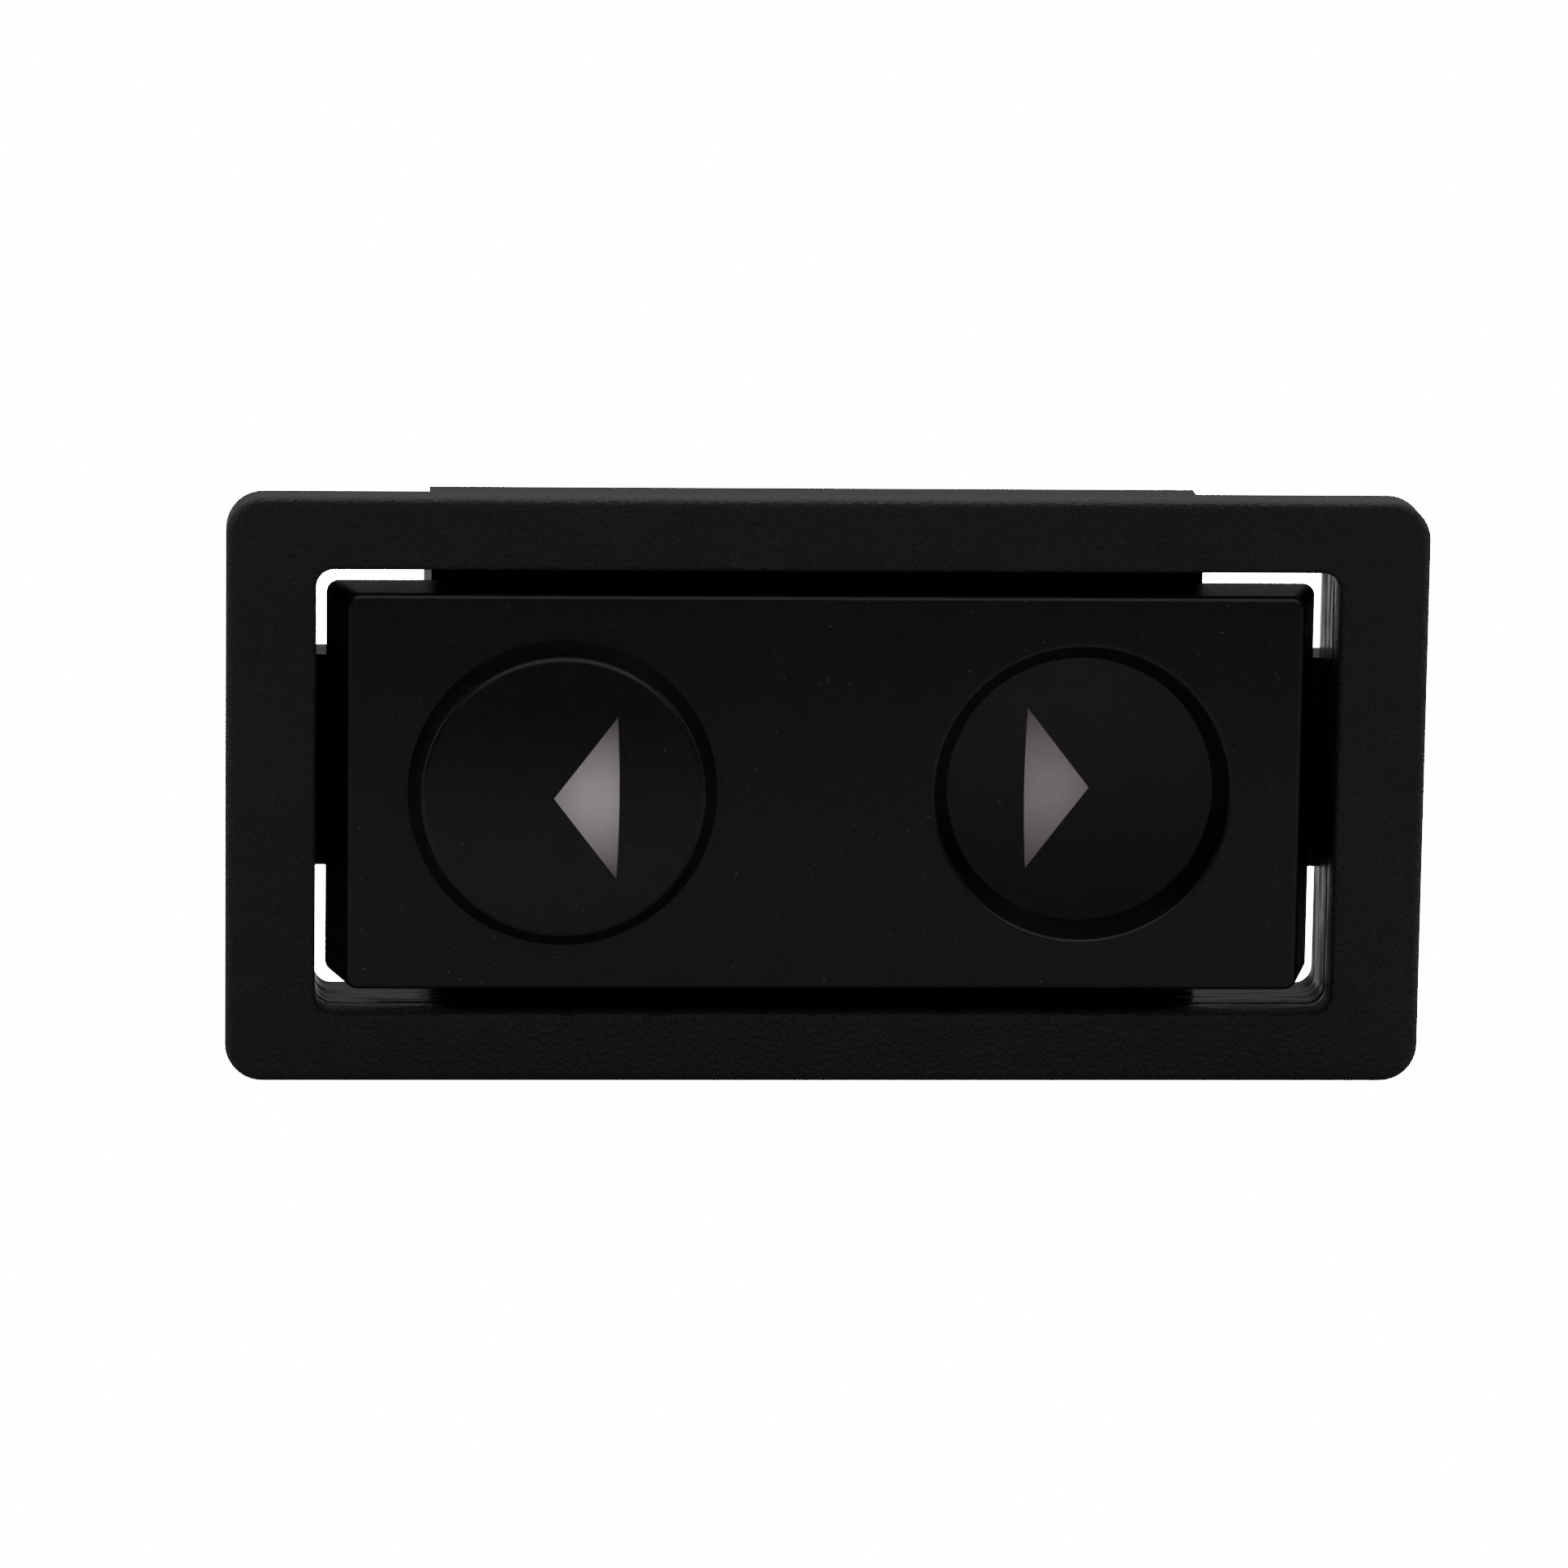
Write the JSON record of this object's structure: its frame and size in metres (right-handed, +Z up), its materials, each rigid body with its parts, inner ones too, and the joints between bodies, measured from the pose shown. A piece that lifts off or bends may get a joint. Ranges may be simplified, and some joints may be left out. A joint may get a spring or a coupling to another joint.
{
  "type": "rocker switch",
  "caption": "Rectangular electric-window rocker switch: bezel, sprung rocker with a raised and a dished thumb disc, housing, contacts and connector.",
  "frame": {"origin": "centre of the panel cut-out, in the plane where the rear of the bezel's flange seats on the panel", "axes": "+X to the right seen from the front, +Y to the rear through the panel, +Z up; the rocker faces -Y and tilts about a line along Z"},
  "size_m": [0.0576, 0.0369, 0.0282],
  "materials": {
    "bezel_plastic": "moulded black plastic with a fine grain",
    "rocker_plastic": "smooth satin black plastic",
    "white_lens": "white translucent plastic, lit from behind",
    "housing_nylon": "black glass-filled nylon",
    "base_thermoset": "dark brown moulded thermoset",
    "ivory_nylon": "natural nylon",
    "axle_steel": "ground steel",
    "spring_steel": "drawn spring wire",
    "bronze_strip": "rolled phosphor bronze",
    "contact_silver": "silver alloy rivet",
    "tinned_brass": "stamped brass, tin plated",
    "lamp_glass": "clear glass"
  },
  "bodies": {
    "root": {"bezel_frame": "bezel_plastic", "housing": "housing_nylon", "pivot_pin": "axle_steel", "terminal_base": "base_thermoset", "lamp_socket": "ivory_nylon", "lamp_bulb": "lamp_glass", "lamp_terminal_left": "tinned_brass", "lamp_terminal_right": "tinned_brass", "return_spring_left": "spring_steel", "return_spring_right": "spring_steel", "common_terminal_upper": "tinned_brass", "common_terminal_lower": "tinned_brass", "fixed_contact_upper_left": "contact_silver", "terminal_upper_left": "tinned_brass", "fixed_contact_upper_right": "contact_silver", "terminal_upper_right": "tinned_brass", "fixed_contact_lower_left": "contact_silver", "terminal_lower_left": "tinned_brass", "fixed_contact_lower_right": "contact_silver", "terminal_lower_right": "tinned_brass"},
    "rocker": {"rocker_cap": "rocker_plastic", "left_arrow_lens": "white_lens", "right_arrow_lens": "white_lens", "rocker_carrier": "housing_nylon"},
    "left_plunger": {"plunger_left": "ivory_nylon"},
    "right_plunger": {"plunger_right": "ivory_nylon"},
    "upper_contact_bar": {"contact_bar_upper": "bronze_strip", "moving_contact_upper_left": "contact_silver", "moving_contact_upper_right": "contact_silver"},
    "lower_contact_bar": {"contact_bar_lower": "bronze_strip", "moving_contact_lower_left": "contact_silver", "moving_contact_lower_right": "contact_silver"}
  },
  "joints": [
    {"name": "rocker_tilt", "type": "hinge", "parent": "root", "child": "rocker", "pos_m": [0, 0.0062, 0], "axis": [0, 0, 1], "range_deg": [-6.5, 6.5], "stiffness_Nm_per_rad": 0.9},
    {"name": "left_plunger_slide", "type": "slide", "parent": "root", "child": "left_plunger", "axis": [0, 1, 0], "range_m": [-0.00126, 0.00126], "deforming": ["return_spring_left"]},
    {"name": "right_plunger_slide", "type": "slide", "parent": "root", "child": "right_plunger", "axis": [0, 1, 0], "range_m": [-0.00126, 0.00126], "deforming": ["return_spring_right"]},
    {"name": "upper_bar_tilt", "type": "hinge", "parent": "root", "child": "upper_contact_bar", "pos_m": [0, 0.0146, 0.005], "axis": [0, 0, 1], "range_deg": [-6.6, 6.6]},
    {"name": "lower_bar_tilt", "type": "hinge", "parent": "root", "child": "lower_contact_bar", "pos_m": [0, 0.0146, -0.005], "axis": [0, 0, 1], "range_deg": [-6.6, 6.6]}
  ],
  "couplings": [
    {"joint": "left_plunger_slide", "follows": "rocker_tilt", "m_per_rad": -0.011},
    {"joint": "right_plunger_slide", "follows": "rocker_tilt", "m_per_rad": 0.011},
    {"joint": "upper_bar_tilt", "follows": "rocker_tilt", "ratio": 1},
    {"joint": "lower_bar_tilt", "follows": "rocker_tilt", "ratio": 1}
  ]
}
